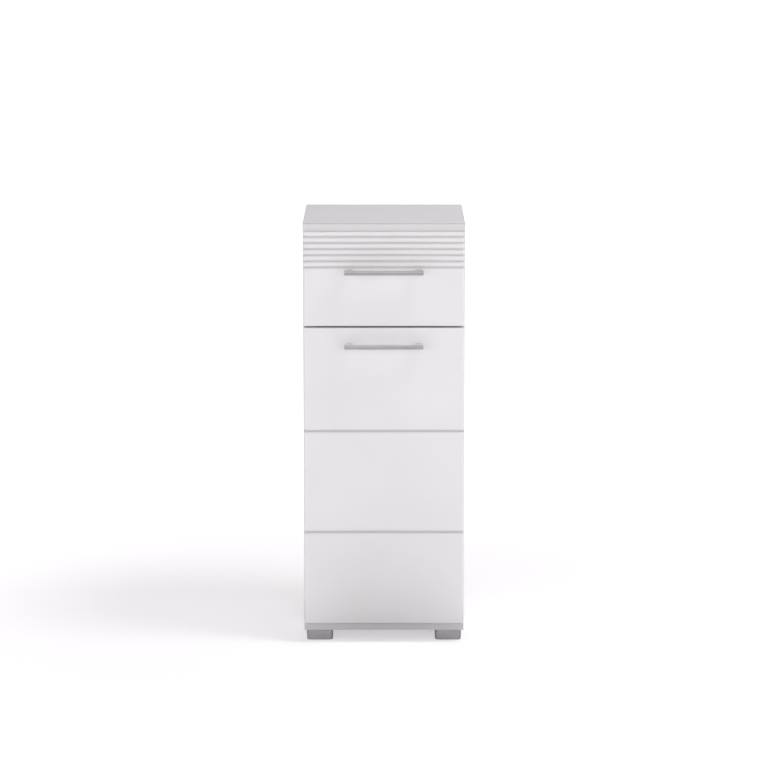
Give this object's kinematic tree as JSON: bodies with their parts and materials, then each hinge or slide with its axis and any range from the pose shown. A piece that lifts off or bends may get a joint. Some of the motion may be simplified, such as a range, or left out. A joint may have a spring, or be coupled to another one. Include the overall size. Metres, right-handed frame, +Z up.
{
  "type": "bathroom cabinet",
  "caption": "Narrow free-standing bathroom base cabinet with a ribbed-front drawer over a hinged door, bar handles, an inner shelf and block feet.",
  "frame": {"origin": "on the floor, in the middle of the whole cabinet's footprint, handles included", "axes": "+X to the viewer's right, +Y from the fronts to the back, +Z up; the fronts face -Y"},
  "size_m": [0.3, 0.338, 0.794],
  "materials": {
    "melamine": "matt white melamine facing on particleboard",
    "gloss_front": "high-gloss white lacquer foil on fibreboard",
    "hardboard": "hardboard, white-coated on the face that shows inside, bare brown on the other",
    "satin_aluminium": "satin",
    "silver_plastic": "silver-grey, satin",
    "zinc_steel": "bright zinc plating",
    "cast_zinc": "die-cast, dull",
    "white_steel": "white powder coat",
    "white_nylon": "moulded nylon",
    "beech": "raw, fluted",
    "clear_rubber": "milky silicone"
  },
  "bodies": {
    "carcass": {"side_panel_left": "melamine", "side_panel_right": "melamine", "top_board": "melamine", "bottom_board": "melamine", "divider_board": "melamine", "back_panel": "hardboard", "adjustable_shelf": "melamine", "shelf_pins": "zinc_steel", "foot_front_left": "silver_plastic", "foot_front_right": "silver_plastic", "foot_back_left": "silver_plastic", "foot_back_right": "silver_plastic", "foot_screws": "zinc_steel", "cam_locks": "cast_zinc", "cam_bolts": "zinc_steel", "dowels": "beech", "back_panel_nails": "zinc_steel", "wall_bracket": "zinc_steel", "wall_bracket_screws": "zinc_steel", "runner_rail_left": "white_steel", "runner_rail_right": "white_steel", "runner_rail_screws": "zinc_steel", "front_roller_rivets": "zinc_steel", "hinge_plate_upper": "zinc_steel", "hinge_plate_lower": "zinc_steel", "hinge_plate_screws": "zinc_steel", "hinge_arm_upper": "zinc_steel", "hinge_arm_lower": "zinc_steel", "hinge_arm_screws": "zinc_steel"},
    "drawer": {"drawer_front": "gloss_front", "drawer_side_left": "melamine", "drawer_side_right": "melamine", "drawer_back": "melamine", "drawer_bottom": "hardboard", "drawer_rail_left": "white_steel", "drawer_rail_right": "white_steel", "drawer_rail_screws": "zinc_steel", "rear_roller_rivets": "zinc_steel", "drawer_handle": "satin_aluminium", "drawer_handle_screws": "zinc_steel", "drawer_cam_locks": "cast_zinc", "drawer_cam_bolts": "zinc_steel", "drawer_back_screws": "zinc_steel"},
    "door": {"door_panel": "gloss_front", "door_handle": "satin_aluminium", "door_handle_screws": "zinc_steel", "hinge_cup_upper": "zinc_steel", "hinge_cup_lower": "zinc_steel", "hinge_pins": "zinc_steel", "hinge_cup_screws": "zinc_steel", "door_bumper_pads": "clear_rubber"},
    "front_roller_left": {"front_roller_left": "white_nylon"},
    "front_roller_right": {"front_roller_right": "white_nylon"},
    "rear_roller_left": {"rear_roller_left": "white_nylon"},
    "rear_roller_right": {"rear_roller_right": "white_nylon"}
  },
  "joints": [
    {"name": "drawer_slide", "type": "slide", "parent": "carcass", "child": "drawer", "axis": [0, -1, 0], "range_m": [0, 0.19]},
    {"name": "door_hinge", "type": "hinge", "parent": "carcass", "child": "door", "pos_m": [-0.141, -0.1335, 0.3185], "axis": [0, 0, -1], "range_deg": [0, 95]},
    {"name": "front_roller_left_spin", "type": "hinge", "parent": "carcass", "child": "front_roller_left", "pos_m": [-0.129, -0.108, 0.6402], "axis": [1, 0, 0], "range_deg": [-5, 1365]},
    {"name": "front_roller_right_spin", "type": "hinge", "parent": "carcass", "child": "front_roller_right", "pos_m": [0.129, -0.108, 0.6402], "axis": [1, 0, 0], "range_deg": [-5, 1365]},
    {"name": "rear_roller_left_spin", "type": "hinge", "parent": "drawer", "child": "rear_roller_left", "pos_m": [-0.1284, 0.12, 0.637], "axis": [1, 0, 0], "range_deg": [-5, 1150]},
    {"name": "rear_roller_right_spin", "type": "hinge", "parent": "drawer", "child": "rear_roller_right", "pos_m": [0.1284, 0.12, 0.637], "axis": [1, 0, 0], "range_deg": [-5, 1150]}
  ],
  "couplings": [
    {"joint": "front_roller_left_spin", "follows": "drawer_slide", "rad_per_m": 125},
    {"joint": "front_roller_right_spin", "follows": "drawer_slide", "rad_per_m": 125},
    {"joint": "rear_roller_left_spin", "follows": "drawer_slide", "rad_per_m": 105.26},
    {"joint": "rear_roller_right_spin", "follows": "drawer_slide", "rad_per_m": 105.26}
  ]
}
